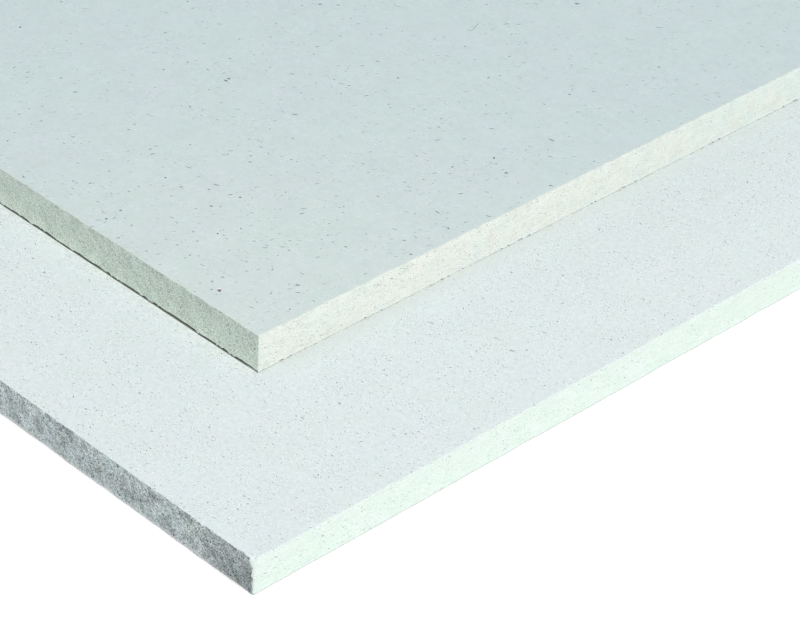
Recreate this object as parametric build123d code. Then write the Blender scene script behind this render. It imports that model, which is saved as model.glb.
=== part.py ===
"""Dry screed board: two gypsum fibreboards bonded face to face, the upper one set off
from the lower one along both axes, so that every edge of the element is a stepped rebate.

Frame, in millimetres: +Z up, +X along the board's length, origin at the bottom centre of
the whole element. The lower board's tongue looks out at +X and -Y. The upper board's
tongue looks out at -X and +Y, where it laps over the next element's lower tongue.
"""
from build123d import *
import os

# Driving dimensions ---------------------------------------------------------------
COVER_LENGTH = 1500.0   # length of each board, which is the length that one element covers
COVER_WIDTH = 500.0     # width of each board
ELEMENT_THICKNESS = 20.0
JOINT_THICKNESS = 0.4   # open joint between the boards, seen from the side as a dark line
STEP_SIDE = 48.5        # how far the upper board is set off from the lower one, across the long side
STEP_END = 51.5         # and across the short end
FILM_SETBACK = 6.0      # the bond stops this far short of the joint's edges

# What follows from them -----------------------------------------------------------
BOARD_THICKNESS = (ELEMENT_THICKNESS - JOINT_THICKNESS) / 2.0
HALF_X = (COVER_LENGTH + STEP_END) / 2.0
HALF_Y = (COVER_WIDTH + STEP_SIDE) / 2.0

LOWER_X = (-HALF_X + STEP_END, HALF_X)
LOWER_Y = (-HALF_Y, HALF_Y - STEP_SIDE)
LOWER_Z = (0.0, BOARD_THICKNESS)

UPPER_X = (-HALF_X, HALF_X - STEP_END)
UPPER_Y = (-HALF_Y + STEP_SIDE, HALF_Y)
UPPER_Z = (BOARD_THICKNESS + JOINT_THICKNESS, ELEMENT_THICKNESS)

# The field where the two boards lie over each other
FIELD_X = (LOWER_X[0], UPPER_X[1])
FIELD_Y = (UPPER_Y[0], LOWER_Y[1])


def flat(points):
    """A flat face with this outline."""
    return Face(Wire.make_polygon([Vector(*p) for p in points], close=True))


def closed(faces):
    """The solid that these faces close."""
    body = Solid(Shell(faces))
    if body.volume < 0:
        body = Solid(Shell([-f for f in faces]))
    return body


def make_lower_board():
    """Square-sawn board. Its top face is two faces that lie in one plane: the bonded field,
    and the L-shaped tongue that stays bare for the next element's upper tongue."""
    (x0, x1), (y0, y1), (z0, z1) = LOWER_X, LOWER_Y, LOWER_Z
    xs, ys = FIELD_X[1], FIELD_Y[0]
    return closed([
        flat([(x0, y0, z0), (x0, y1, z0), (x1, y1, z0), (x1, y0, z0)]),                     # underside
        flat([(x0, ys, z1), (xs, ys, z1), (xs, y1, z1), (x0, y1, z1)]),                     # bonded field
        flat([(x0, y0, z1), (x1, y0, z1), (x1, y1, z1), (xs, y1, z1), (xs, ys, z1), (x0, ys, z1)]),  # tongue
        flat([(x0, y0, z0), (x1, y0, z0), (x1, y0, z1), (x0, y0, z1)]),                     # -Y edge
        flat([(x1, y0, z0), (x1, y1, z0), (x1, y1, z1), (x1, y0, z1)]),                     # +X edge
        flat([(x1, y1, z0), (x0, y1, z0), (x0, y1, z1), (xs, y1, z1), (x1, y1, z1)]),       # +Y edge
        flat([(x0, y1, z0), (x0, y0, z0), (x0, y0, z1), (x0, ys, z1), (x0, y1, z1)]),       # -X edge
    ])


def make_upper_board():
    """Square-sawn board of the same size. Its underside is two faces that lie in one plane:
    the bonded field, and the L-shaped tongue that overhangs."""
    (x0, x1), (y0, y1), (z0, z1) = UPPER_X, UPPER_Y, UPPER_Z
    xb, yb = FIELD_X[0], FIELD_Y[1]
    return closed([
        flat([(x0, y0, z1), (x1, y0, z1), (x1, y1, z1), (x0, y1, z1)]),                     # walking face
        flat([(xb, y0, z0), (xb, yb, z0), (x1, yb, z0), (x1, y0, z0)]),                     # bonded field
        flat([(x0, y0, z0), (x0, y1, z0), (x1, y1, z0), (x1, yb, z0), (xb, yb, z0), (xb, y0, z0)]),  # tongue
        flat([(x0, y0, z0), (xb, y0, z0), (x1, y0, z0), (x1, y0, z1), (x0, y0, z1)]),       # -Y edge
        flat([(x1, y0, z0), (x1, yb, z0), (x1, y1, z0), (x1, y1, z1), (x1, y0, z1)]),       # +X edge
        flat([(x1, y1, z0), (x0, y1, z0), (x0, y1, z1), (x1, y1, z1)]),                     # +Y edge
        flat([(x0, y1, z0), (x0, y0, z0), (x0, y0, z1), (x0, y1, z1)]),                     # -X edge
    ])


def make_adhesive_film():
    """The cured bond between the boards, set back from the joint's edges."""
    sx = FIELD_X[1] - FIELD_X[0] - 2 * FILM_SETBACK
    sy = FIELD_Y[1] - FIELD_Y[0] - 2 * FILM_SETBACK
    cx, cy = sum(FIELD_X) / 2.0, sum(FIELD_Y) / 2.0
    film = Box(sx, sy, JOINT_THICKNESS, align=(Align.CENTER, Align.CENTER, Align.MIN))
    return Pos(cx, cy, LOWER_Z[1]) * film


PIECES = {
    "lower_board": make_lower_board(),
    "upper_board": make_upper_board(),
    "adhesive_film": make_adhesive_film(),
}

os.makedirs("parts", exist_ok=True)
for name, piece in PIECES.items():
    export_step(piece, "parts/" + name + ".step")
    print(name, "volume mm3", round(piece.volume), "valid", piece.is_valid, "faces", len(piece.faces()))
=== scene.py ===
"""Looks of the dry screed board: two gypsum fibreboards bonded face to face with an offset.

Both boards are rebuilt here as closed meshes of the same size, with the worn and chipped
arrises, the slightly wavy sawn edges and the rubbed corners of the real boards. Their faces
get procedural materials: paper flecks in the ground faces, fibre and saw marks in the edges.
"""
import math

import bpy
import numpy as np
from mathutils import Matrix, Vector
from mathutils.geometry import delaunay_2d_cdt


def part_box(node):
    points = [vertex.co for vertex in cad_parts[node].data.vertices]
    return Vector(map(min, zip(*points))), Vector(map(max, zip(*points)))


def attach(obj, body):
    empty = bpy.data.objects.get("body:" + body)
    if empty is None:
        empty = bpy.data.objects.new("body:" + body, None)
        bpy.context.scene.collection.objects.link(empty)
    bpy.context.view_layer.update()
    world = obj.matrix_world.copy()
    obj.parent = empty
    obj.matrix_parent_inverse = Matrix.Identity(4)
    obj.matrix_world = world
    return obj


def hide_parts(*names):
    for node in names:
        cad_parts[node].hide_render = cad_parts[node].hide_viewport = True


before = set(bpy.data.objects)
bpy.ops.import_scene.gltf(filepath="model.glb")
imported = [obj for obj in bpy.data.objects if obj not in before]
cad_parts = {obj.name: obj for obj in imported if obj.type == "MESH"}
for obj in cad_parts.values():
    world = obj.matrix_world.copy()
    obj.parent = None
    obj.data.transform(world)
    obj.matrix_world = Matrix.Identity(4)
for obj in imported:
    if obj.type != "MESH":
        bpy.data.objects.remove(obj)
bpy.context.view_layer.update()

MM = 0.001
SCENE = bpy.context.scene

# How much light falls on each face, worked out for the lights below
LIGHT_UPPER_TOP, LIGHT_LOWER_TOP = 1.28, 1.285
LIGHT_UPPER_SIDE, LIGHT_LOWER_SIDE = 0.787, 0.850
LIGHT_UPPER_END, LIGHT_LOWER_END = 1.31, 1.49


# ------------------------------------------------------------------------------ numbers
def lattice(ix, iy, seed):
    """A repeatable random number in 0..1 for each whole-numbered point."""
    h = (ix * 374761393 + iy * 668265263 + seed * 974634777) & 0xFFFFFFFF
    h = ((h ^ (h >> 13)) * 1274126177) & 0xFFFFFFFF
    h = h ^ (h >> 16)
    return (h & 0xFFFFFF) / float(0xFFFFFF)


def noise(x, y, seed):
    """Smooth value noise in 0..1."""
    x, y = np.broadcast_arrays(np.asarray(x, float), np.asarray(y, float))
    ix, iy = np.floor(x).astype(np.int64), np.floor(y).astype(np.int64)
    fx, fy = x - ix, y - iy
    sx, sy = fx * fx * (3 - 2 * fx), fy * fy * (3 - 2 * fy)
    low = lattice(ix, iy, seed) * (1 - sx) + lattice(ix + 1, iy, seed) * sx
    high = lattice(ix, iy + 1, seed) * (1 - sx) + lattice(ix + 1, iy + 1, seed) * sx
    return low * (1 - sy) + high * sy


def fbm(x, y, seed, octaves=3):
    """Layered noise in 0..1."""
    total, weight, size = 0.0, 0.0, 1.0
    for k in range(octaves):
        total = total + size * noise(np.asarray(x) * 2**k + 17.3 * k, np.asarray(y) * 2**k - 9.1 * k, seed + 31 * k)
        weight += size
        size *= 0.5
    return total / weight


def step(lo, hi, x):
    t = np.clip((x - lo) / (hi - lo), 0.0, 1.0)
    return t * t * (3 - 2 * t)


# ------------------------------------------------------------------------------- boards
FINE, COARSE = 0.30, 2.00          # spacing of the points along the edges, mm
INNER = 3.0                        # the rim of each face that takes the arris's wear, mm
MITRE = 8.0                        # over this length the rim's points close up on a corner, mm
TOP_U = (3.0, 1.4, 0.7, 0.3)
SIDE_V = (0.15, 0.4, 0.8, 1.4, 2.1, 2.8, 3.5, 4.2, 4.9, 5.6, 6.3, 7.0, 7.8, 8.6, 9.2, 9.6)
BOTTOM_U = (0.3, 1.2, 3.0)
SKIN = 0.03                        # the faces lie this far inside the nominal size, mm


def stations(length, zone):
    """Distances along one edge: close together at its ends and in the zone, wider elsewhere."""
    out, a = [], 0.0
    while a < length:
        out.append(a)
        pace = FINE if zone[0] <= a <= zone[1] else COARSE
        a += min(pace, 0.09 + 0.2 * min(a, length - a))
    return np.array(out) * (length / a)


def worn(d, e):
    """Moves a point that is d from an arris onto the round of radius e that wear has left there.
    Gives its distance from the arris along its own face, and how far it sinks below that face."""
    turn = np.where(d < e, math.pi / 4 * (1 - d / np.maximum(e, 1e-9)), 0.0)
    return np.where(d < e, e * (1 - np.sin(turn)), d), np.where(d < e, e * (1 - np.cos(turn)), 0.0)


def make_board(name, node, seed, wear, low, lip, shut, back, bow, ragged, ripple, corner_wear, knock, round_corner):
    """One board as a closed mesh. Material slots: 0 upper face, 1 long edges, 2 short ends, 3 underside.
    Each list has one value for each edge, in the order -Y, +X, +Y, -X. wear: of the upper arris. low: radius
    of the lower arris, mm. lip: burr that the saw left below it, mm. shut: length of the burr's gaps, mm, and
    where they begin and end on a scale of 0..1. back: how far the edge leans in at its top and at its bottom, mm.
    bow: how far its top and its bottom bow in along its length, mm. ragged, ripple: how far its upper arris strays
    over short lengths, and its lower arris over longer ones, mm. knock: how much more the upper arris is worn at
    the corner of +X and -Y, mm. round_corner: how far the end's surface goes round that corner at each height, mm."""
    lo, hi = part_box(node)
    (x0, y0, z0), (x1, y1, z1) = [[c / MM for c in v] for v in (lo, hi)]
    x0, y0, x1, y1 = x0 + SKIN, y0 + SKIN, x1 - SKIN, y1 - SKIN
    top, bottom = z1 - SKIN, z0
    tall = top - bottom
    length = [x1 - x0, y1 - y0, x1 - x0, y1 - y0]
    corner = np.array([(x0, y0), (x1, y0), (x1, y1), (x0, y1)])
    along = np.array([(1, 0), (0, 1), (-1, 0), (0, -1)], float)
    out = np.array([(0, -1), (1, 0), (0, 1), (-1, 0)], float)
    zones = [(length[0] - 140, length[0]), (0, 240), (-1, -1), (-1, -1)]

    side, a, b = [], [], []
    for k in range(4):
        s = stations(length[k], zones[k])
        side += [k] * len(s)
        a += list(s)
        b += list(length[k] - s)
    side, a, b = np.array(side), np.array(a), np.array(b)
    n = len(a)
    base = corner[side] + along[side] * a[:, None]
    bx, by = base[:, 0], base[:, 1]
    run = bx + 0.73 * by                       # goes on smoothly round the corners

    # each column belongs to its nearer corner
    first = a <= b
    near = np.where(first, side, (side + 1) % 4)
    beside = np.where(first, (side - 1) % 4, (side + 1) % 4)
    gone = np.where(first, a, b)
    way = np.where(first[:, None], along[side], -along[side])

    def per_edge(values):
        """One value for each column, eased from edge to edge over the last 3 mm before a corner."""
        values, share = np.asarray(values, float), 0.5 * np.clip(1 - gone / 3.0, 0, 1)
        return values[side] * (1 - share) + values[beside] * share

    # wear of the arrises: a little everywhere, ragged, with small chips at random
    dice = np.random.default_rng(seed)
    rough, foot = per_edge(wear), per_edge(low)
    e_top = 0.05 + rough * (1.2 * fbm(bx / 5.5, by / 5.5, seed + 1, 2) ** 3 + 1.4 * fbm(bx / 1.1, by / 1.1, seed + 2, 2) ** 3)
    e_low = foot * (0.30 + 1.4 * fbm(bx / 2.6, by / 2.6, seed + 3, 3))
    for e, scale, count, deepest in ((e_top, rough, 260, 0.7), (e_low, foot, 160, 0.8)):
        for _ in range(count):
            k = dice.integers(4)
            at, half = dice.uniform(0, length[k]), 0.5 + 2.0 * dice.random() ** 2
            deep = deepest * (0.25 + 0.75 * dice.random() ** 2)
            here = side == k
            t = np.clip(1 - ((a[here] - at) / half) ** 2, 0, None)
            e[here] += deep * t * scale[here]
    e_top = e_top + np.where(near == 1, knock * np.exp(-((gone / 1.3) ** 2)), 0.0)
    e_top, e_low = np.clip(e_top, 0.05, 1.5), np.clip(e_low, 0.03, 0.9)
    burr = per_edge(lip) * (0.78 + 0.6 * fbm(bx / 2.1, by / 2.1, seed + 4, 2))
    for k, (gap, begins, ends) in enumerate(shut):
        burr[side == k] *= step(begins, ends, fbm(bx / gap, by / gap, seed + 8, 2))[side == k]
    burr = np.minimum(burr, 0.425)

    # sawn edges: long shallow waves, and a finer unevenness
    torn = per_edge(ragged) * (fbm(run / 1.5, run / 9, seed + 9, 3) - 0.5)
    bent = per_edge(ripple) * (fbm(run / 4.5, run / 40, seed + 10, 3) - 0.5)

    def waves(z):
        up = np.clip(z / tall, 0, 1)
        fine = 0.08 * fbm(run / 11, z / 7, seed + 5, 2) + 0.05 * fbm(run / 1.9, z / 2.3, seed + 6, 2)
        return fine + torn * up**6 + bent * (1 - up) ** 3

    back_top, back_low = (np.array([pair[i] for pair in back]) for i in (0, 1))
    far = np.where(side == 0, b, a)             # distance from the near corner, for the bow
    bow_top, bow_low = (np.array([pair[i] for pair in bow])[side] for i in (0, 1))
    bowed = np.where(far < 110, far / 110, 1 - step(110, 400, far))
    outer = np.where(np.isin(side, (0, 1)) == (name == "lower_gypsum_board"), -SKIN, -1.0)   # stays inside the element's size

    def place(inset, z):
        """Points at this inset from the edges, at height z, with the upright corners rubbed round."""
        down = np.clip((top - z) / tall, 0, 1)
        own = inset + (back_top[side] + bow_top * bowed) * (1 - down) + (back_low[side] + bow_low * bowed) * down
        own = np.maximum(own, outer)
        other = np.maximum(inset + back_top[beside] * (1 - down) + back_low[beside] * down, outer)
        r = np.maximum(corner_wear(near, z - bottom, gone) - np.minimum(inset, 5), 0.0)
        t, sunk = worn(gone, r)
        t = np.where(t < MITRE, other + t * (1 - other / MITRE), t)
        xy = corner[near] + way * t[:, None] - out[side] * (own + sunk)[:, None]
        return np.column_stack([xy, z])

    rows, kinds, rubbed = [], [], []
    full = np.full(n, 1.0)
    for u in TOP_U:
        d, sunk = worn(u * full, e_top)
        rows.append(place(d + waves(tall * full) * (1 - u / INNER), top - sunk))
        kinds.append("top")
        rubbed.append(np.exp(-u / (0.4 + e_top)) * e_top)
    d, sunk = worn(0 * full, e_top)
    rows.append(place(sunk + waves(tall * full), top - sunk))
    kinds.append("arris")
    rubbed.append(e_top)
    for v in SIDE_V:
        v = v / 9.8 * tall
        down, in_top = worn(v * full, e_top)
        up, in_low = worn((tall - v) * full, e_low)
        z = np.where(v < tall / 2, top - down, bottom + up)
        hang = burr * math.exp(-((tall - v) / 0.5) ** 2)
        rows.append(place(in_top + in_low + waves(z - bottom), z - hang))
        kinds.append("side")
        rubbed.append(np.exp(-v / (0.4 + e_top)) * e_top)
    d, sunk = worn(0 * full, e_low)
    rows.append(place(sunk + waves(0 * full), bottom + sunk - burr))
    kinds.append("arris")
    rubbed.append(0 * full)
    for u in BOTTOM_U:
        d, sunk = worn(u * full, e_low)
        rows.append(place(d + waves(0 * full) * (1 - u / INNER), bottom + sunk - burr * (1 - u / INNER) ** 1.5))
        kinds.append("bottom")
        rubbed.append(0 * full)

    grid = np.stack(rows)                       # row, column, xyz
    m = len(rows)
    turned = kinds.index("arris")               # row of the upper arris
    under = turned + len(SIDE_V) + 1            # row of the lower arris
    points = list(grid.reshape(-1, 3))
    rub = list(np.stack(rubbed).reshape(-1))
    faces, slots, maps = [], [], []

    # where each face group lies in the texture
    def on_top(p):
        return ((p[0] - x0) / length[0] * 0.996 + 0.002, (p[1] - y0) / length[1] * 0.330 + 0.002)

    def on_bottom(p):
        return ((p[0] - x0) / length[0] * 0.996 + 0.002, (p[1] - y0) / length[1] * 0.330 + 0.336)

    strip = [(0.002, 0.676, 0.996), (0.002, 0.888, 0.496), (0.002, 0.782, 0.996), (0.502, 0.888, 0.496)]

    def on_side(k, at, v):
        u0, v0, wide = strip[k]
        return (u0 + wide * at / length[k], v0 + 0.100 * (1 - v))

    for i in range(n):
        j = (i + 1) % n
        k = side[i]
        at = (a[i], a[j] if side[j] == k else length[k])
        for r in range(m - 1):
            quad = ((r, i), (r + 1, i), (r + 1, j), (r, j))
            faces.append([q * n + c for q, c in quad])
            if r < turned:
                slots.append(0)
                maps += [on_top(grid[q, c]) for q, c in quad]
            elif r < under:
                ended = k == 0 and b[i] < round_corner(grid[r, i, 2] - bottom)
                slots.append(1 if k % 2 == 0 and not ended else 2)
                maps += [on_side(k, at[0 if c == i else 1], (q - turned) / (under - turned)) for q, c in quad]
            else:
                slots.append(3)
                maps += [on_bottom(grid[q, c]) for q, c in quad]

    # the two flat fields inside the rims
    inner = []
    for d, pace in ((4.4, 2.2), (7.5, 4.5), (13.0, 9.0), (24.0, 18.0)):
        for k in range(4):
            count = max(2, round((length[k] - 2 * d) / pace))
            for t in range(count):
                inner.append(corner[k] + along[k] * (d + (length[k] - 2 * d) * t / count) - out[k] * d)
    nx, ny = round(length[0] / 30), round(length[1] / 30)
    for p in range(2, nx - 1):
        for q in range(2, ny - 1):
            inner.append(np.array([x0 + length[0] * (p + 0.5 * (q % 2) - 0.25) / nx, y0 + length[1] * q / ny]))
    for row, z, slot, put in ((0, top, 0, on_top), (m - 1, bottom, 3, on_bottom)):
        rim = grid[row, :, :2]
        flat = [Vector(p) for p in rim] + [Vector(p) for p in inner]
        verts, _, tris, origin, _, _ = delaunay_2d_cdt(flat, [], [list(range(n))], 1, 1e-7)
        index = {}
        for v, whence in enumerate(origin):
            if whence and whence[0] < n:
                index[v] = row * n + whence[0]
            else:
                index[v] = len(points)
                points.append(np.array([verts[v].x, verts[v].y, z]))
                rub.append(0.0)
        for tri in tris:
            tri = list(tri) if slot == 0 else list(tri)[::-1]
            faces.append([index[v] for v in tri])
            slots.append(slot)
            maps += [put(verts[v]) for v in tri]

    return {"name": name, "points": points, "rub": rub, "faces": faces, "slots": slots, "maps": maps,
            "top": top, "on_top": on_top}


def add_fleck(board, x, y, half_long, half_wide, turn, slot, seed, lift=0.018):
    """A flake of paper fibre that lies in the board's upper face, as a low closed lens."""
    dice = np.random.default_rng(seed)
    count = 14
    start = len(board["points"])
    c, s = math.cos(turn), math.sin(turn)
    ring = []
    for k in range(count):
        t = 2 * math.pi * k / count
        grow = 0.72 + 0.5 * dice.random()
        p, q = half_long * math.cos(t) * grow, half_wide * math.sin(t) * grow
        ring.append((x + p * c - q * s, y + p * s + q * c))
    z = board["top"]
    for px, py in ring:
        board["points"].append(np.array([px, py, z - 0.012]))
    for px, py in ring:
        board["points"].append(np.array([x + 0.55 * (px - x), y + 0.55 * (py - y), z + lift * 0.8]))
    board["points"].append(np.array([x, y, z + lift]))
    board["points"].append(np.array([x, y, z - 0.06]))
    board["rub"] += [0.0] * (2 * count + 2)
    for k in range(count):
        j = (k + 1) % count
        for face in ([k, j, count + j, count + k], [count + k, count + j, 2 * count], [j, k, 2 * count + 1]):
            board["faces"].append([start + v for v in face])
            board["slots"].append(slot)
            board["maps"] += [board["on_top"](board["points"][start + v]) for v in face]


def add_hair(board, path, radius, slot):
    """A paper fibre that lies along the upper face, as a thin closed tube half sunk in it."""
    sides, start, z = 6, len(board["points"]), board["top"]
    path = np.array(path, float)
    for k, p in enumerate(path):
        d = path[min(k + 1, len(path) - 1)] - path[max(k - 1, 0)]
        d = d / np.linalg.norm(d)
        r = radius * (0.55 if k in (0, len(path) - 1) else 1.0)
        for q in range(sides):
            t = 2 * math.pi * q / sides
            off = np.array([-d[1], d[0]]) * r * math.cos(t)
            board["points"].append(np.array([p[0] + off[0], p[1] + off[1], z - 0.2 * r + 0.5 * r * math.sin(t)]))
    board["rub"] += [0.0] * (sides * len(path))
    made = []
    for k in range(len(path) - 1):
        for q in range(sides):
            w = (q + 1) % sides
            made.append([k * sides + q, (k + 1) * sides + q, (k + 1) * sides + w, k * sides + w][::-1])
    made.append(list(range(sides))[::-1])
    made.append([(len(path) - 1) * sides + q for q in range(sides)])
    for face in made:
        board["faces"].append([start + v for v in face])
        board["slots"].append(slot)
        board["maps"] += [board["on_top"](board["points"][start + v]) for v in face]


def finish_board(board, materials):
    mesh = bpy.data.meshes.new(board["name"])
    mesh.from_pydata((np.array(board["points"]) * MM).tolist(), [], board["faces"])
    for m in materials:
        mesh.materials.append(m)
    mesh.polygons.foreach_set("material_index", np.array(board["slots"], np.int32))
    mesh.polygons.foreach_set("use_smooth", np.ones(len(mesh.polygons), bool))
    mesh.uv_layers.new(name="OFBake").data.foreach_set("uv", np.array(board["maps"], np.float32).ravel())
    mesh.attributes.new("rub", "FLOAT", "POINT").data.foreach_set("value", np.array(board["rub"], np.float32))
    mesh.update()
    made = bpy.data.objects.new(board["name"], mesh)
    SCENE.collection.objects.link(made)
    return made


# ---------------------------------------------------------------------------- materials
def linear(rgb):
    """Linear values of a colour given as it shows, 0..255."""
    return [((c / 255 + 0.055) / 1.055) ** 2.4 if c > 10.3 else c / 255 / 12.92 for c in rgb]


class Shader:
    """A material whose nodes are written as sums."""

    def __init__(self, name, light):
        self.material = bpy.data.materials.new(name)
        self.material.use_nodes = True
        self.tree = self.material.node_tree
        self.tree.nodes.clear()
        self.light = light
        self.out = self.tree.nodes.new("ShaderNodeOutputMaterial")
        self.bsdf = self.tree.nodes.new("ShaderNodeBsdfPrincipled")
        self.tree.links.new(self.bsdf.outputs[0], self.out.inputs[0])
        self.place = self.tree.nodes.new("ShaderNodeTexCoord").outputs["Object"]
        self.mm = self.vector("SCALE", self.place, 1000.0)
        self.x, self.y, self.z = self.split(self.mm)

    def put(self, socket, value):
        if isinstance(value, bpy.types.NodeSocket):
            self.tree.links.new(value, socket)
        else:
            socket.default_value = value

    def node(self, kind, **settings):
        made = self.tree.nodes.new(kind)
        for k, v in settings.items():
            setattr(made, k, v)
        return made

    def calc(self, operation, a, b=None, clamp=False):
        made = self.node("ShaderNodeMath", operation=operation, use_clamp=clamp)
        self.put(made.inputs[0], a)
        if b is not None:
            self.put(made.inputs[1], b)
        return made.outputs[0]

    def add(self, a, b):
        return self.calc("ADD", a, b)

    def sub(self, a, b):
        return self.calc("SUBTRACT", a, b)

    def mul(self, a, b):
        return self.calc("MULTIPLY", a, b)

    def most(self, a, b):
        return self.calc("MAXIMUM", a, b)

    def least(self, a, b):
        return self.calc("MINIMUM", a, b)

    def vector(self, operation, a, b):
        made = self.node("ShaderNodeVectorMath", operation=operation)
        self.put(made.inputs[0], a)
        self.put(made.inputs["Scale"] if operation == "SCALE" else made.inputs[1], b)
        return made.outputs[0]

    def split(self, v):
        made = self.node("ShaderNodeSeparateXYZ")
        self.put(made.inputs[0], v)
        return made.outputs[0], made.outputs[1], made.outputs[2]

    def join(self, x, y, z=0.0):
        made = self.node("ShaderNodeCombineXYZ")
        for socket, value in zip(made.inputs, (x, y, z)):
            self.put(socket, value)
        return made.outputs[0]

    def rescale(self, value, a, b, c=0.0, d=1.0, smooth=True):
        made = self.node("ShaderNodeMapRange", interpolation_type="SMOOTHSTEP" if smooth else "LINEAR")
        for socket, v in zip(made.inputs, (value, a, b, c, d)):
            self.put(socket, v)
        return made.outputs[0]

    def noise(self, v, size, detail=2.0, rough=0.5, shift=0.0, flat=True):
        """Noise whose grains are about this many millimetres across."""
        if shift:
            v = self.vector("ADD", v, (shift * 13.7, shift * -7.9, shift * 3.1))
        made = self.node("ShaderNodeTexNoise", noise_dimensions="2D" if flat else "3D")
        self.put(made.inputs["Vector"], v)
        made.inputs["Scale"].default_value = 1.0 / size
        made.inputs["Detail"].default_value = detail
        made.inputs["Roughness"].default_value = rough
        return made.outputs[0]

    def vary(self, n, rms, by=None):
        """Noise as a factor about 1 that strays from it by about this much, or by this many times as much."""
        if by is None:
            return self.add(self.mul(n, 8 * rms), 1 - 4 * rms)
        return self.add(self.mul(self.mul(self.sub(n, 0.5), 8 * rms), by), 1.0)

    def dice(self, v, k):
        made = self.node("ShaderNodeTexWhiteNoise", noise_dimensions="3D")
        self.put(made.inputs["Vector"], self.vector("ADD", v, (k * 11.37, k * 5.71, k * 2.93)))
        return self.split(made.outputs["Color"])

    def flecks(self, v, cell, share, long, wide, turn=0.0, spread=math.pi, bend=0.6, deep=(0.3, 1.0), soft=0.35, key=1,
               gather=None):
        """Short bent fibres, one or none in each cell of this size. Gives 0 beside them, and up to 1 on them.
        gather: size in mm and key of the patches in which they lie closer together."""
        q = self.vector("ADD", self.vector("SCALE", v, 1.0 / cell), (key * 3.7, key * 8.3, 0.0))
        cells = self.node("ShaderNodeTexVoronoi", voronoi_dimensions="2D", feature="F1")
        self.put(cells.inputs["Vector"], q)
        cells.inputs["Scale"].default_value = 1.0
        spot = cells.outputs["Position"]
        r1, r2, r3 = self.dice(spot, key)
        r4, r5, r6 = self.dice(spot, key + 40)
        d = self.vector("SCALE", self.vector("SUBTRACT", q, spot), cell)
        spin = self.node("ShaderNodeVectorRotate", rotation_type="Z_AXIS")
        self.put(spin.inputs["Vector"], d)
        self.put(spin.inputs["Angle"], self.add(self.mul(self.sub(r1, 0.5), 2 * spread), -turn))
        p, s, _ = self.split(spin.outputs[0])
        s = self.add(s, self.mul(self.mul(p, p), self.mul(self.sub(r2, 0.5), 2 * bend)))
        half_long = self.add(self.mul(self.mul(r3, r3), long[1] - long[0]), long[0])
        half_wide = self.add(self.mul(r4, wide[1] - wide[0]), wide[0])
        p, s = self.calc("DIVIDE", p, half_long), self.calc("DIVIDE", s, half_wide)
        far = self.calc("SQRT", self.add(self.mul(p, p), self.mul(s, s)))
        shape = self.rescale(far, 1 - soft, 1 + soft, 1.0, 0.0)
        if gather:
            home = self.vector("SCALE", self.vector("SUBTRACT", spot, (key * 3.7, key * 8.3, 0.0)), cell)
            crowd = self.noise(home, gather[0], 2, 0.5, gather[1])
            share = self.rescale(crowd, 0.38, 0.62, 0.25 * share, min(1.75 * share, 1.0))
        kept = self.calc("LESS_THAN", r5, share)
        strength = self.add(self.mul(self.mul(r6, r6), deep[1] - deep[0]), deep[0])
        return self.mul(self.mul(shape, kept), strength)

    def mix(self, share, a, b):
        made = self.node("ShaderNodeMix", data_type="RGBA")
        self.put(made.inputs[0], share)
        self.put(made.inputs[6], a)
        self.put(made.inputs[7], b)
        return made.outputs[2]

    def shown(self, rgb):
        """The reflectance that shows as this colour in the light that falls on this face."""
        return (*[min(c / self.light, 0.95) for c in linear(rgb)], 1.0)

    def shade(self, colour, by):
        return self.vector("SCALE", colour, by)

    def rub(self):
        made = self.node("ShaderNodeAttribute", attribute_type="GEOMETRY", attribute_name="rub")
        return made.outputs["Fac"]

    def frayed(self, colour, v, box, side_tint, end_tint, reach, key):
        """The outermost strip of an upper face, where the skin has broken away along a ragged line. Along the long
        sides it also takes the long edge's colour as that shows in its shade: partly painted shade.
        """
        (x0, y0, _), (x1, y1, _) = box
        ragged = self.add(self.mul(self.noise(v, 4.0, 3, 0.62, key), 2.4), self.mul(self.noise(v, 0.9, 2, 0.6, key + 1), 1.1))
        ragged = self.mul(self.sub(ragged, 1.62), reach)
        for near, far, at, tint in ((y0, y1, self.y, side_tint), (x0, x1, self.x, end_tint)):
            d = self.least(self.sub(at, near), self.sub(far, at))
            # along the long sides the tint is the edge's colour in its shade, so there this strip is partly painted
            # shade
            colour = self.mix(self.rescale(self.sub(d, ragged), 0.10, 0.36, 1.0, 0.0), colour, self.shown(tint))
        return colour

    def tinge(self, colour, v, size, red, blue, key):
        """Lets the red and the blue of a colour stray by about this much, in patches of this many millimetres."""
        n, m = self.noise(v, size, 3, 0.6, key), self.noise(v, size, 3, 0.6, key + 61)
        other = self.mul(self.vary(n, 0.45 * blue), self.vary(m, 0.9 * blue))
        return self.vector("MULTIPLY", colour, self.join(self.vary(n, red), 1.0, other))

    def bump(self, height_mm, strength=1.0):
        made = self.node("ShaderNodeBump")
        made.inputs["Strength"].default_value = strength
        made.inputs["Distance"].default_value = MM
        self.put(made.inputs["Height"], height_mm)
        self.put(self.bsdf.inputs["Normal"], made.outputs[0])

    def done(self, colour, rough):
        self.put(self.bsdf.inputs["Base Color"], colour)
        self.put(self.bsdf.inputs["Roughness"], rough)
        self.bsdf.inputs["Specular IOR Level"].default_value = 0.25
        return self.material


def box_mm(node):
    return [[c / MM for c in v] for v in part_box(node)]


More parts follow.
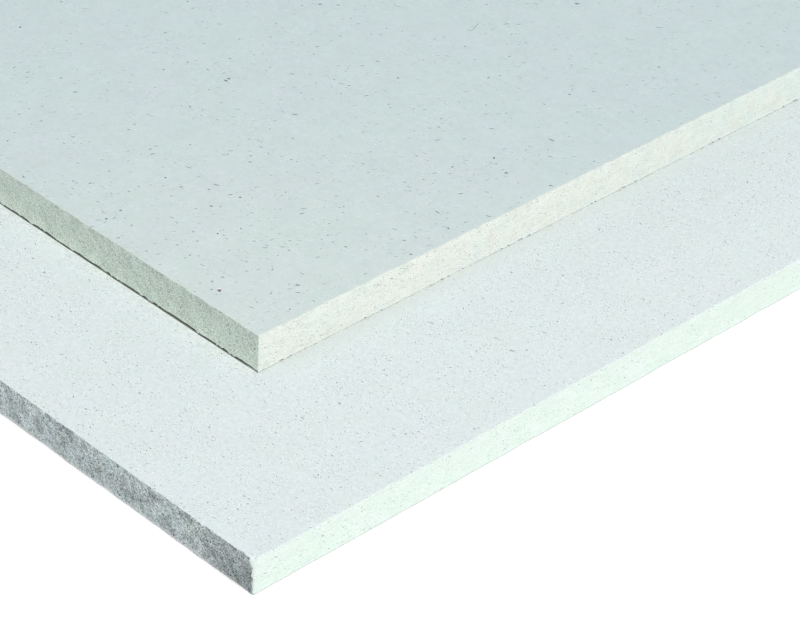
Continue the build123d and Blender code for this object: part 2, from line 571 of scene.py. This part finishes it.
def ground_face(name, box):
    """The upper board's walking face: ground smooth, pale aqua grey, with scattered paper flecks. They lie
    mostly along the grain, which runs slantwise, and some stand a little proud; the light they catch is a painted
    highlight beside many dark flecks. Painted light makes the face paler towards the near corner."""
    s = Shader(name, LIGHT_UPPER_TOP)
    v = s.join(s.x, s.y)
    (x0, y0, _), (x1, y1, _) = box
    gx, gy = s.sub(x1, s.x), s.sub(s.y, y0)
    gone = s.calc("SQRT", s.add(s.mul(gx, gx), s.mul(gy, gy)))
    # painted light: the face is paler and a little warmer towards the near corner, as if lit more there
    colour = s.mix(s.rescale(gone, -15.0, 175.0), s.shown((211, 224, 222)), s.shown((203.5, 218.6, 220)))
    hue = s.rescale(s.noise(v, 26, 3, 0.5, 1), 0.32, 0.68)
    colour = s.vector("MULTIPLY", colour, s.mix(hue, (0.994, 1.005, 0.995, 1), (1.006, 0.995, 1.005, 1)))
    colour = s.tinge(colour, v, 4.4, 0.0108, 0.0110, 50)
    rim = s.rescale(s.least(s.sub(s.y, y0), s.sub(x1, s.x)), 0.2, 1.8, 1.0, 0.0)
    colour = s.vector("MULTIPLY", colour, s.mix(rim, (1, 1, 1, 1), (1.010, 0.998, 0.970, 1)))
    grainwise = math.radians(45)
    cloud = s.noise(v, 9, 3, 0.55, 2)
    mottle = s.noise(v, 2.4, 2, 0.6, 47)
    grain = s.noise(v, 0.42, 2, 0.6, 3)
    lively = s.rescale(gone, 0.0, 210.0, 1.28, 0.78, smooth=False)
    colour = s.shade(colour, s.mul(s.mul(s.vary(cloud, 0.010), s.vary(mottle, 0.012)), s.vary(grain, 0.017, lively)))
    pale = s.flecks(v, 1.8, 0.85, (0.22, 0.8), (0.05, 0.10), turn=grainwise, spread=0.6, deep=(0.25, 1.0), key=1, gather=(12, 1))
    small = s.flecks(v, 1.5, 0.55, (0.15, 0.50), (0.05, 0.10), turn=grainwise, spread=0.6, deep=(0.1, 0.7), key=2, gather=(13, 3))
    lying = dict(turn=grainwise, spread=0.95, bend=0.6, deep=(0.15, 1.0), key=3, gather=(13, 3))
    usual = s.flecks(v, 3.1, 0.85, (0.22, 0.75), (0.09, 0.19), **lying)
    # the same flecks shifted a little and drawn pale: a painted highlight beside each dark fleck
    edge = s.flecks(s.vector("ADD", v, (0.24, -0.24, 0.0)), 3.1, 0.85, (0.22, 0.75), (0.09, 0.19), **lying)
    large = s.flecks(v, 9.0, 0.55, (0.32, 0.85), (0.15, 0.25), turn=grainwise, spread=1.2, bend=0.6, deep=(0.4, 1.0), key=4)
    pale = s.calc("MULTIPLY", s.most(pale, s.mul(edge, 0.5)), lively, clamp=True)
    colour = s.mix(pale, colour, s.shown((232, 244, 243)))
    dark = s.most(s.most(s.mul(small, 0.62), s.mul(usual, 0.78)), s.mul(large, 0.78))
    dark = s.calc("MULTIPLY", dark, lively, clamp=True)
    colour = s.mix(dark, colour, s.shown((94, 108, 112)))
    # the first tint is the long edge's colour as it shows in its shade: painted shade along that rim
    colour = s.frayed(colour, v, box, (186, 199, 191), (208, 218, 215), 0.4, 40)
    s.bump(s.add(s.mul(grain, 0.03), s.add(s.mul(dark, -0.05), s.mul(cloud, 0.03))))
    return s.done(colour, s.add(0.62, s.mul(grain, 0.2)))


def screen_face(name, box, joint):
    """The lower board's upper face: paler, with a finer and denser grain. Small pits and crumbs gather in patches.
    It carries painted shade by the step and in the joint, painted light along the foot of the step and in patches at
    the joint, and a painted highlight beside many pits."""
    s = Shader(name, LIGHT_LOWER_TOP)
    v = s.join(s.x, s.y)
    hue = s.rescale(s.noise(v, 14, 3, 0.6, 4), 0.32, 0.68)
    colour = s.mix(hue, s.shown((224, 235.1, 234.2)), s.shown((225, 234.6, 235.8)))
    colour = s.tinge(colour, v, 4.0, 0.0112, 0.0078, 51)
    cloud = s.noise(v, 12, 3, 0.55, 5)
    grain = s.noise(v, 0.40, 2, 0.6, 6)
    coarse = s.noise(v, 1.3, 2, 0.6, 46)
    rough = s.rescale(s.noise(v, 6.5, 2, 0.5, 7), 0.38, 0.62, 0.022, 0.050)
    grainy = s.add(1.0, s.mul(s.mul(s.sub(grain, 0.5), 8.0), rough))
    colour = s.shade(colour, s.mul(s.mul(s.vary(cloud, 0.007), s.vary(coarse, 0.024)), grainy))
    crumbs = s.flecks(v, 0.9, 0.42, (0.10, 0.28), (0.07, 0.14), deep=(0.2, 1.0), key=5, gather=(6.5, 7))
    tiny = s.flecks(v, 0.8, 0.75, (0.07, 0.20), (0.05, 0.11), deep=(0.2, 0.9), key=6, gather=(6.5, 7))
    pitted = dict(bend=0.9, deep=(0.15, 1.0), key=7, gather=(6.5, 7))
    usual = s.flecks(v, 1.45, 0.80, (0.12, 0.42), (0.07, 0.16), **pitted)
    # the same pits shifted a little and drawn pale: a painted highlight beside each
    edge = s.flecks(s.vector("ADD", v, (0.05, -0.30, 0.0)), 1.45, 0.80, (0.12, 0.42), (0.07, 0.16), **pitted)
    large = s.flecks(v, 8.0, 0.5, (0.25, 0.7), (0.12, 0.2), deep=(0.4, 1.0), key=8)
    pale = s.most(crumbs, s.mul(edge, 0.65))
    colour = s.mix(pale, colour, s.shown((262, 269, 268)))
    dark = s.most(s.most(s.mul(tiny, 0.6), s.mul(usual, 0.85)), s.mul(large, 0.85))
    colour = s.mix(dark, colour, s.shown((116, 129, 132)))
    # painted shade on the strip by the upper board's end, deeper by the step and far from the near corner; painted
    # light in patches right at that joint and along the foot of the long step; a warmer tint by the long step; and
    # painted shade in the joint under the overhang
    xs, ys = joint
    off, over = s.sub(s.x, xs), s.sub(s.y, ys)
    away = s.calc("ABSOLUTE", off)
    past = s.rescale(over, -8.0, 16.0)
    # painted shade: darker within 40 mm of the end's step, more so far from the near corner
    broad = s.mul(s.rescale(away, 0.0, 40.0, 0.055, 0.0), s.rescale(over, 0.0, 170.0, 0.2, 1.2))
    colour = s.shade(colour, s.sub(1.0, s.mul(broad, past)))
    # painted shade: a duller colour within 7 mm of the end's step
    tight = s.mul(s.rescale(away, 0.0, 7.0, 0.85, 0.0), s.rescale(over, 0.0, 170.0, 1.0, 0.5))
    colour = s.mix(s.mul(tight, past), colour, s.shown((213, 219.5, 216)))
    # painted light: patches lightened right at the end's joint
    joint_light_patches = s.rescale(s.noise(v, 1.7, 2, 0.6, 52), 0.36, 0.64, 0.0, 0.46)
    colour = s.shade(colour, s.add(1.0, s.mul(s.mul(s.rescale(off, 0.05, 0.65, 1.0, 0.0), joint_light_patches), past)))
    # painted light along the foot of the long step
    before = s.add(s.rescale(over, -0.7, -0.1, 0.0, 0.19), s.rescale(over, -10.0, 0.0, 0.0, 0.020))
    beside = s.rescale(off, 0.5, -2.0)
    colour = s.shade(colour, s.add(1.0, s.mul(before, beside)))
    colour = s.vector("MULTIPLY", colour, s.mix(s.mul(beside, s.rescale(over, -5.0, 0.0)), (1, 1, 1, 1), (1.0, 0.966, 0.946, 1)))
    # painted shade in the joint under the upper board's overhang, deeper away from the near corner
    inside = s.mul(s.rescale(over, -0.06, 0.10), s.rescale(off, 0.2, -0.2))
    inside = s.mul(inside, s.rescale(off, -0.5, -6.0, 0.2, 0.8))
    colour = s.mix(inside, colour, s.shown((124, 130, 119)))
    # the first tint is the long edge's colour as it shows in its shade: painted shade along that rim
    colour = s.frayed(colour, v, box, (174, 185, 185), (225, 237, 233), 0.4, 43)
    s.bump(s.add(s.mul(grain, 0.06), s.add(s.mul(dark, -0.08), s.mul(crumbs, 0.05))))
    return s.done(colour, s.add(0.68, s.mul(grain, 0.2)))


def underside(name):
    """Pressed underside: flat and pale, with a faint sieve grain."""
    s = Shader(name, LIGHT_UPPER_TOP)
    v = s.join(s.x, s.y)
    hue = s.rescale(s.noise(v, 30, 3, 0.5, 7), 0.3, 0.7)
    colour = s.mix(hue, s.shown((208, 221, 219)), s.shown((214, 222, 224)))
    grain = s.noise(v, 0.7, 3, 0.6, 8)
    colour = s.shade(colour, s.vary(grain, 0.02))
    usual = s.flecks(v, 3.1, 0.75, (0.12, 0.45), (0.09, 0.18), deep=(0.1, 0.9), key=9)
    colour = s.mix(s.mul(usual, 0.6), colour, s.shown((128, 140, 142)))
    s.bump(s.add(s.mul(grain, 0.03), s.mul(usual, -0.03)))
    return s.done(colour, s.add(0.66, s.mul(grain, 0.2)))


def sawn_edge(name, along, box, light, tints, other, lean, marks, streak, grain, dashes, ink, key, relief, chalk,
              hue, patchy, lively, deep=(0.2, 1.0), scored=(), rim=None, upturn_shade=None, foot=None, near=None, paler=None):
    """A sawn edge. tints: colour at its top and at its bottom. other: colour of its patches. lean: which way the
    fibre ends and saw marks run. marks: their width in mm, strength, and how much they are drawn out. streak, grain:
    size in mm and strength. dashes: cell, share, half length, half width and strength of the dark fibre ends, in the
    colour ink. relief: height of the marks, mm. chalk: colour, share, half length and half width of the pale crumbs.
    hue, patchy: how far red and blue, and the tone, stray. lively: how strong all this is at the near corner and far
    from it, and over what length. deep: range of the fibre ends' strength. scored: thin lines, each
    kind with its colour, cell, share, half length, half width, turn, spread, bend and strength. rim: colour of the
    rubbed arris, and how
    much. upturn_shade: how much painted shade darkens it where it turns up. foot: colour, height and strength of a
    broken band along
    the bottom. near: how much the edge darkens towards the near corner, and over what length.
    paler: tint that it takes on far from the near corner."""
    s = Shader(name, light)
    (x0, y0, z0), (x1, y1, z1) = box
    run = s.x if along == "x" else s.y
    gone = s.sub(x1, run) if along == "x" else s.sub(run, y0)
    v = s.join(run, s.z)
    c, n = math.cos(lean), math.sin(lean)
    p = s.add(s.mul(run, c), s.mul(s.z, n))
    q = s.add(s.mul(run, -n), s.mul(s.z, c))
    high = s.rescale(s.z, z0, z1, smooth=False)
    colour = s.mix(high, s.shown(tints[1]), s.shown(tints[0]))
    if paler:
        colour = s.vector("MULTIPLY", colour, s.mix(s.rescale(gone, *paler[1]), (1, 1, 1, 1), (*paler[0], 1)))
    cloud = s.noise(v, 9, 3, 0.55, key + 2)
    colour = s.mix(s.rescale(cloud, 0.40, 0.66, 0.0, 0.6), colour, s.shown(other))
    colour = s.tinge(colour, v, 5.0, hue[0], hue[1], key + 8)
    much = s.rescale(gone, 0.0, lively[2], lively[0], lively[1], smooth=False)
    m = s.noise(s.join(s.mul(p, marks[2]), q), marks[0], 2, 0.6, key)
    k = s.noise(s.join(s.mul(p, 0.25), q), streak[0], 2, 0.5, key + 1)
    g = s.noise(v, grain[0], 1, 0.5, key + 3)
    tone = s.mul(s.vary(m, marks[1], much), s.vary(g, grain[1], much))
    broad = s.mul(s.vary(s.noise(v, 4.2, 2, 0.5, key + 9), patchy), s.vary(s.noise(v, 1.8, 2, 0.5, key + 10), patchy))
    broad = s.mul(broad, s.vary(k, streak[1], much))
    broad = s.least(broad, 1 + 0.8 * math.sqrt(streak[1] ** 2 + 2 * patchy**2))
    colour = s.shade(colour, s.mul(s.least(tone, 1.33), broad))
    dark = None
    for i, (cell, share, long, wide, strength) in enumerate(dashes):
        one = s.flecks(v, cell, share, long, wide, turn=lean, spread=0.5, deep=deep, key=key + 4 + i, gather=(5, key + 4))
        one = s.mul(one, strength)
        dark = one if dark is None else s.most(dark, one)
    dark = s.calc("MULTIPLY", dark, much, clamp=True)
    colour = s.mix(dark, colour, s.shown(ink))
    crumb = s.flecks(v, 0.9, chalk[1], chalk[2], chalk[3], turn=lean, spread=0.6, deep=(0.2, 1.0), key=key + 7, gather=(5, key + 4))
    crumb = s.calc("MULTIPLY", crumb, much, clamp=True)
    colour = s.mix(crumb, colour, s.shown(chalk[0]))
    for i, (tint, cell, share, long, wide, turn, spread, bend, strength) in enumerate(scored):
        line = s.flecks(v, cell, share, long, wide, turn=turn, spread=spread, bend=bend, key=key + 12 + i)
        colour = s.mix(s.mul(line, strength), colour, s.shown(tint))
    if rim:
        colour = s.mix(s.rescale(s.rub(), 0.10, 0.32, 0.0, rim[1]), colour, s.shown(rim[0]))
    # painted shade: darker where the face turns up and more light falls on it, so its upturned round stays as dark as
    # the face
    if upturn_shade:
        facing = s.split(s.node("ShaderNodeNewGeometry").outputs["Normal"])[2]
        colour = s.shade(colour, s.sub(1.0, s.rescale(facing, 0.04, 0.65, 0.0, upturn_shade)))
    if foot:
        level = s.add(s.sub(s.z, z0), s.mul(s.sub(s.noise(v, 0.9, 2, 0.6, key + 6), 0.5), 2.6 * foot[1]))
        band = s.mul(s.rescale(level, 0.6 * foot[1], 1.2 * foot[1], foot[2], 0.0), s.rescale(s.sub(s.z, z0), -0.06, 0.10))
        colour = s.mix(band, colour, s.shown(foot[0]))
    if near:
        shadow = s.mul(s.rescale(gone, 2.0, near[1], near[0], 0.0), s.sub(1.3, s.mul(high, 0.75)))
        colour = s.shade(colour, s.sub(1.0, shadow))
    height = s.add(s.add(s.mul(m, relief), s.mul(k, 0.4 * relief)), s.add(s.mul(g, 0.4 * relief), s.mul(dark, -0.7 * relief)))
    s.bump(s.add(height, s.mul(crumb, 0.4 * relief)))
    return s.done(colour, s.add(0.75, s.mul(g, 0.15)))


def fibre(name, colour_a, colour_b):
    s = Shader(name, LIGHT_UPPER_TOP)
    v = s.join(s.x, s.y)
    patch = s.noise(v, 0.25, 2, 0.6, 30)
    colour = s.mix(s.rescale(patch, 0.3, 0.7), s.shown(colour_a), s.shown(colour_b))
    s.bump(s.mul(patch, 0.01))
    return s.done(colour, s.add(0.6, s.mul(patch, 0.2)))


def glue(name):
    """Cured adhesive, pressed thin between the boards."""
    s = Shader(name, LIGHT_UPPER_TOP)
    v = s.join(s.x, s.y)
    cloud = s.noise(v, 14, 4, 0.6, 33)
    grain = s.noise(v, 0.8, 3, 0.6, 34)
    colour = s.mix(s.rescale(cloud, 0.3, 0.7), s.shown((150, 148, 126)), s.shown((176, 173, 150)))
    s.bump(s.mul(grain, 0.04))
    return s.done(colour, s.add(0.4, s.mul(cloud, 0.25)))


# --------------------------------------------------------------------------- the object
def upper_corners(near, z, gone):
    return 0.16 + 0.22 * noise(z / 1.3, near * 7.7, 71)


def lower_corners(near, z, gone):
    """The corner that looks out at +X and -Y is rubbed most, with a nick at half height."""
    usual = 0.25 + 0.35 * noise(z / 1.3, near * 5.3, 72)
    battered = 0.30 + 0.55 * step(4.4, 6.0, z) + 0.90 * step(7.6, 9.7, z) + 0.75 * np.exp(-(((z - 5.2) / 0.45) ** 2))
    battered = battered + 0.5 * noise(z / 0.7, 3.3, 73)
    return np.where(near == 1, battered, usual)


ALL = (9.0, -2.0, -1.0)             # a burr without gaps
EVEN = (0.0, 0.0)
upper = make_board("upper_gypsum_board", "upper_board", 11,
                   wear=(0.34, 0.24, 0.5, 0.5), low=(0.26, 0.06, 0.12, 0.12), lip=(0.40, 0.46, 0.0, 0.0),
                   shut=((1.5, 0.56, 0.70), (1.4, 0.24, 0.36), ALL, ALL),
                   back=((0.22, 0.06), (0.10, -0.38), EVEN, EVEN), bow=((-0.25, 0.0), EVEN, EVEN, EVEN),
                   ragged=(0.62, 0.74, 0.2, 0.2), ripple=(0.75, 0.15, 0.1, 0.1), corner_wear=upper_corners,
                   knock=0.15, round_corner=lambda z: 0.35 * noise(z / 0.8, 1.7, 75))
lower = make_board("lower_gypsum_board", "lower_board", 23,
                   wear=(0.50, 0.24, 0.6, 0.6), low=(0.12, 0.05, 0.12, 0.12), lip=(0.0, 0.0, 0.0, 0.0),
                   shut=(ALL, ALL, ALL, ALL),
                   back=((0.0, 0.25), (-0.02, -0.10), EVEN, EVEN), bow=((0.60, 0.65), EVEN, EVEN, EVEN),
                   ragged=(0.28, 0.45, 0.2, 0.2), ripple=(0.60, 0.55, 0.1, 0.1), corner_wear=lower_corners,
                   knock=0.9, round_corner=lambda z: 0.10 + 0.85 * noise(z / 0.75, 4.1, 76) + 0.7 * np.exp(-(((z - 5.6) / 0.5) ** 2)) + 0.9 * step(7.2, 9.7, z))

# The largest flecks of the walking face: place, half length, half width, turn, material slot
DARK, RED, INK, PALE, FAINT = 4, 5, 6, 7, 8
for k, (x, y, p, q, turn, slot) in enumerate((
    (703.99, -219.64, 0.60, 0.72, 0.87, RED),
    (703.24, -219.08, 0.50, 0.26, 0.87, PALE),
    (704.83, -221.29, 0.32, 0.30, 0.9, FAINT),
    (700.09, -218.35, 0.42, 0.55, 0.8, FAINT),
    (700.35, -215.20, 0.55, 0.42, 1.1, FAINT),
    (632.42, -152.25, 0.74, 0.44, -0.13, DARK),
    (632.15, -151.00, 0.46, 0.56, 1.1, DARK),
    (629.20, -150.24, 0.48, 0.36, 0.8, FAINT),
    (703.86, -124.92, 0.30, 0.58, 0.87, INK),
    (704.92, -127.13, 0.20, 0.24, 0.3, DARK),
    (705.71, -126.85, 0.22, 0.20, 1.3, FAINT),
    (705.18, -127.95, 0.24, 0.20, 0.5, FAINT),
    (662.11, -48.29, 0.85, 0.58, 0.9, DARK),
    (658.20, -196.24, 0.32, 0.36, 0.9, INK),
    (675.30, -196.16, 0.55, 0.30, 1.15, DARK),
    (676.83, -194.58, 0.44, 0.32, 1.5, FAINT),
    (662.53, -214.74, 0.42, 0.46, 1.2, DARK),
    (676.72, -187.88, 0.60, 0.38, 0.8, DARK),
    (710.84, -127.64, 0.60, 0.44, 0.8, DARK),
    (709.20, -127.25, 0.46, 0.28, 0.6, FAINT),
    (700.17, -136.28, 0.52, 0.36, 1.0, DARK),
    (685.34, -203.28, 0.30, 0.36, 0.7, INK),
    (684.88, -201.87, 0.20, 0.20, 0.2, DARK),
    (685.08, -201.06, 0.22, 0.18, 1.0, DARK),
    (618.25, -104.46, 0.80, 0.40, 0.9, DARK),
    (719.64, -157.56, 0.32, 0.50, 0.7, DARK),
    (577.31, -176.32, 0.30, 0.50, 0.9, INK),
    (663.29, -219.98, 0.46, 0.50, 0.9, DARK),
    (664.17, -217.97, 0.48, 0.28, 0.7, FAINT),
    (694.44, -86.17, 0.52, 0.34, 0.8, DARK),
    (699.77, -56.59, 0.45, 0.32, 1.0, DARK),
    (721.98, -173.03, 0.48, 0.36, 0.9, DARK),
    (620.08, -215.58, 0.24, 0.38, 0.6, INK),
    (621.66, -216.54, 0.22, 0.24, 0.9, FAINT),
    (645.00, -215.04, 0.58, 0.46, 0.9, FAINT),
    (681.72, -121.63, 0.62, 0.32, 0.87, FAINT),
    (697.47, -198.26, 0.55, 0.36, 1.8, FAINT),
    (671.83, -165.77, 0.34, 0.30, 0.9, DARK),
    (714.09, -203.47, 0.80, 0.24, 0.45, DARK),
    (713.04, -48.76, 0.36, 0.44, 0.9, FAINT),
    (639.90, -160.66, 0.36, 0.42, 0.9, FAINT),
    (657.33, -207.50, 0.44, 0.44, 0.6, FAINT),
    (617.93, -161.20, 0.36, 0.30, 0.87, DARK),
    (675.75, -181.64, 0.58, 0.28, 1.3, FAINT),
    (684.08, -51.82, 0.45, 0.34, 0.6, FAINT),
    (659.32, -89.85, 0.32, 0.30, 0.87, DARK),
    (721.37, -133.21, 0.42, 0.30, 1.5, FAINT),
    (688.20, -214.86, 0.34, 0.32, 0.4, DARK),
    (634.66, -169.76, 0.34, 0.38, 0.87, FAINT),
    (720.42, -212.08, 0.30, 0.36, 0.87, DARK),
    (687.29, -197.36, 0.26, 0.24, 0.87, INK),
)):
    add_fleck(upper, x, y, p, q, turn, slot, 500 + k)
add_hair(upper, ((653.2, -83.0), (653.85, -82.74), (654.2, -82.21), (654.25, -81.5), (653.91, -80.7), (653.58, -79.9),
                 (653.3, -79.21), (652.97, -78.48), (652.55, -77.85)), 0.10, DARK)

flakes = [fibre("dark_paper_fibre", (112, 127, 129), (146, 160, 162)), fibre("red_paper_fibre", (122, 95, 110), (168, 134, 150)),
          fibre("black_paper_fibre", (60, 71, 74), (90, 102, 104)), fibre("pale_crumb", (238, 244, 246), (250, 252, 254)),
          fibre("faint_paper_fibre", (162, 177, 177), (182, 195, 194))]

upper_box, lower_box = box_mm("upper_board"), box_mm("lower_board")
upper_board = finish_board(upper, [
    ground_face("upper_face", upper_box),
    sawn_edge("upper_long_edge", "x", upper_box, LIGHT_UPPER_SIDE, ((177.4, 188.6, 180.8), (198.4, 208.6, 197.8)), (187, 199, 190),
              math.radians(-40), (0.36, 0.115, 0.6), (1.4, 0.055), (0.27, 0.160),
              ((0.95, 0.75, (0.09, 0.26), (0.08, 0.15), 1.0), (0.60, 0.6, (0.07, 0.14), (0.06, 0.10), 0.85),
               (1.9, 0.45, (0.18, 0.45), (0.12, 0.20), 0.55)), (58, 69, 62), 10,
              0.10, ((219, 229, 219), 0.30, (0.09, 0.18), (0.06, 0.11)), (0.014, 0.012), 0.012, (1.15, 0.78, 105.0), upturn_shade=0.40,
              scored=(((104, 116, 108), 5.0, 0.55, (0.8, 2.2), (0.035, 0.06), math.radians(-55), 1.1, 0.3, 0.9),
                      ((206, 216, 206), 3.0, 0.6, (0.4, 1.2), (0.03, 0.06), math.radians(-42), 0.4, 0.2, 0.55)),
              foot=((208, 219, 209), 0.90, 0.45)),
    sawn_edge("upper_short_end", "y", upper_box, LIGHT_UPPER_END, ((232.6, 239.7, 233.2), (232.6, 239.2, 232.2)), (236, 238, 229),
              math.radians(3), (0.30, 0.025, 0.45), (1.3, 0.020), (0.28, 0.032),
              ((1.5, 0.5, (0.16, 0.50), (0.05, 0.10), 0.85), (0.85, 0.42, (0.10, 0.22), (0.05, 0.08), 0.7)), (112, 119, 110), 20,
              0.12, ((268, 272, 264), 0.38, (0.12, 0.30), (0.06, 0.11)), (0.0066, 0.0115), 0.015, (1.25, 0.52, 215.0), upturn_shade=0.15,
              paler=((0.955, 0.997, 1.0), (110.0, 200.0)), foot=((238, 244, 240), 0.7, 0.5)),
    underside("upper_underside"), *flakes])
lower_board = finish_board(lower, [
    screen_face("lower_face", lower_box, (upper_box[1][0], upper_box[0][1])),
    sawn_edge("lower_long_edge", "x", lower_box, LIGHT_LOWER_SIDE, ((168, 179, 179.5), (166, 176, 177.5)), (173, 184, 183),
              math.radians(-42), (0.42, 0.255, 0.55), (1.5, 0.12), (0.27, 0.28),
              ((1.0, 0.9, (0.12, 0.40), (0.10, 0.18), 1.0), (0.60, 0.7, (0.08, 0.16), (0.07, 0.12), 1.0)), (26, 31, 32), 30,
              0.16, ((198, 204, 202), 0.25, (0.09, 0.20), (0.06, 0.10)), (0.022, 0.020), 0.100, (1.1, 0.95, 100.0), deep=(0.4, 1.0), upturn_shade=0.12,
              scored=(((72, 80, 80), 2.4, 0.6, (0.4, 1.1), (0.05, 0.10), math.radians(-40), 0.3, 0.2, 0.8),
                      ((194, 201, 200), 3.0, 0.5, (0.7, 1.8), (0.04, 0.09), math.radians(-40), 0.25, 0.12, 0.75)),
              foot=((204, 207, 207), 0.8, 0.7), near=(0.33, 22.0)),
    sawn_edge("lower_short_end", "y", lower_box, LIGHT_LOWER_END, ((235, 250, 241), (235, 250, 241)), (238, 250, 245),
              math.radians(3), (0.30, 0.027, 0.45), (1.3, 0.016), (0.28, 0.033),
              ((1.6, 0.5, (0.16, 0.45), (0.05, 0.10), 0.9), (0.95, 0.38, (0.10, 0.20), (0.05, 0.08), 0.75)), (108, 124, 116), 38,
              0.12, ((268, 274, 272), 0.36, (0.12, 0.28), (0.06, 0.11)), (0.0125, 0.0105), 0.004, (1.12, 0.74, 215.0), upturn_shade=0.10, foot=((214, 208, 208), 0.30, 0.7)),
    underside("lower_underside")])

for piece, node, slot in ((upper_board, "upper_board", "upper_gypsum_fibre"), (lower_board, "lower_board", "lower_gypsum_fibre")):
    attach(piece, "root")
    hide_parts(node)

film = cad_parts["adhesive_film"]
film.data.materials.clear()
film.data.materials.append(glue("cured_adhesive"))


# ------------------------------------------------------------------- floor, light, camera
def make_floor():
    mesh = bpy.data.meshes.new("floor")
    r, z = 40.0, -0.00003
    mesh.from_pydata([(-r, -r, z), (r, -r, z), (r, r, z), (-r, r, z)], [], [(0, 1, 2, 3)])
    m = bpy.data.materials.new("pale_floor")
    m.use_nodes = True
    b = m.node_tree.nodes["Principled BSDF"]
    b.inputs["Base Color"].default_value = (0.93, 0.93, 0.93, 1)
    b.inputs["Roughness"].default_value = 1.0
    b.inputs["Specular IOR Level"].default_value = 0.0
    mesh.materials.append(m)
    made = bpy.data.objects.new("floor", mesh)
    SCENE.collection.objects.link(made)


def make_lights():
    key = bpy.data.lights.new("key", "SUN")
    key.energy = 2.6
    key.angle = math.radians(22)
    made = bpy.data.objects.new("key", key)
    elevation, turn = math.radians(50), math.radians(-8)
    toward = Vector((math.cos(elevation) * math.cos(turn), math.cos(elevation) * math.sin(turn), math.sin(elevation)))
    made.rotation_euler = (-toward).to_track_quat("-Z", "Y").to_euler()
    made.location = toward * 4
    SCENE.collection.objects.link(made)

    # a soft box close to the near corner
    near = bpy.data.lights.new("near", "AREA")
    near.shape, near.size, near.energy = "DISK", 0.36, 0.45
    made = bpy.data.objects.new("near", near)
    made.location = (1.12, -0.27, 0.42)
    made.rotation_euler = (Vector((0.74, -0.24, 0.01)) - made.location).to_track_quat("-Z", "Y").to_euler()
    made.visible_camera = False
    SCENE.collection.objects.link(made)

    world = bpy.data.worlds.new("studio")
    world.use_nodes = True
    nodes, links = world.node_tree.nodes, world.node_tree.links
    nodes.clear()
    out = nodes.new("ShaderNodeOutputWorld")
    soft, seen = nodes.new("ShaderNodeBackground"), nodes.new("ShaderNodeBackground")
    soft.inputs[1].default_value = 0.55
    seen.inputs[1].default_value = 1.0
    for b in (soft, seen):
        b.inputs[0].default_value = (1, 1, 1, 1)
    path, mix = nodes.new("ShaderNodeLightPath"), nodes.new("ShaderNodeMixShader")
    links.new(path.outputs["Is Camera Ray"], mix.inputs[0])
    links.new(soft.outputs[0], mix.inputs[1])
    links.new(seen.outputs[0], mix.inputs[2])
    links.new(mix.outputs[0], out.inputs[0])
    SCENE.world = world


def make_camera():
    data = bpy.data.cameras.new("camera")
    data.sensor_width, data.lens = 36.0, 150.59515
    data.clip_start, data.clip_end = 0.02, 200.0
    made = bpy.data.objects.new("camera", data)
    right = Vector((0.70344153, 0.70790733, 0.06353937))
    up = Vector((-0.43648334, 0.35970959, 0.82467650))
    back = Vector((0.56093882, -0.60784557, 0.56202442))
    made.matrix_world = Matrix((
        (right.x, up.x, back.x, 1.18281036),
        (right.y, up.y, back.y, -0.67481886),
        (right.z, up.z, back.z, 0.46660275),
        (0, 0, 0, 1)))
    SCENE.collection.objects.link(made)
    SCENE.camera = made


make_floor()
make_lights()
make_camera()
SCENE.view_settings.view_transform = "Standard"

bpy.context.view_layer.update()
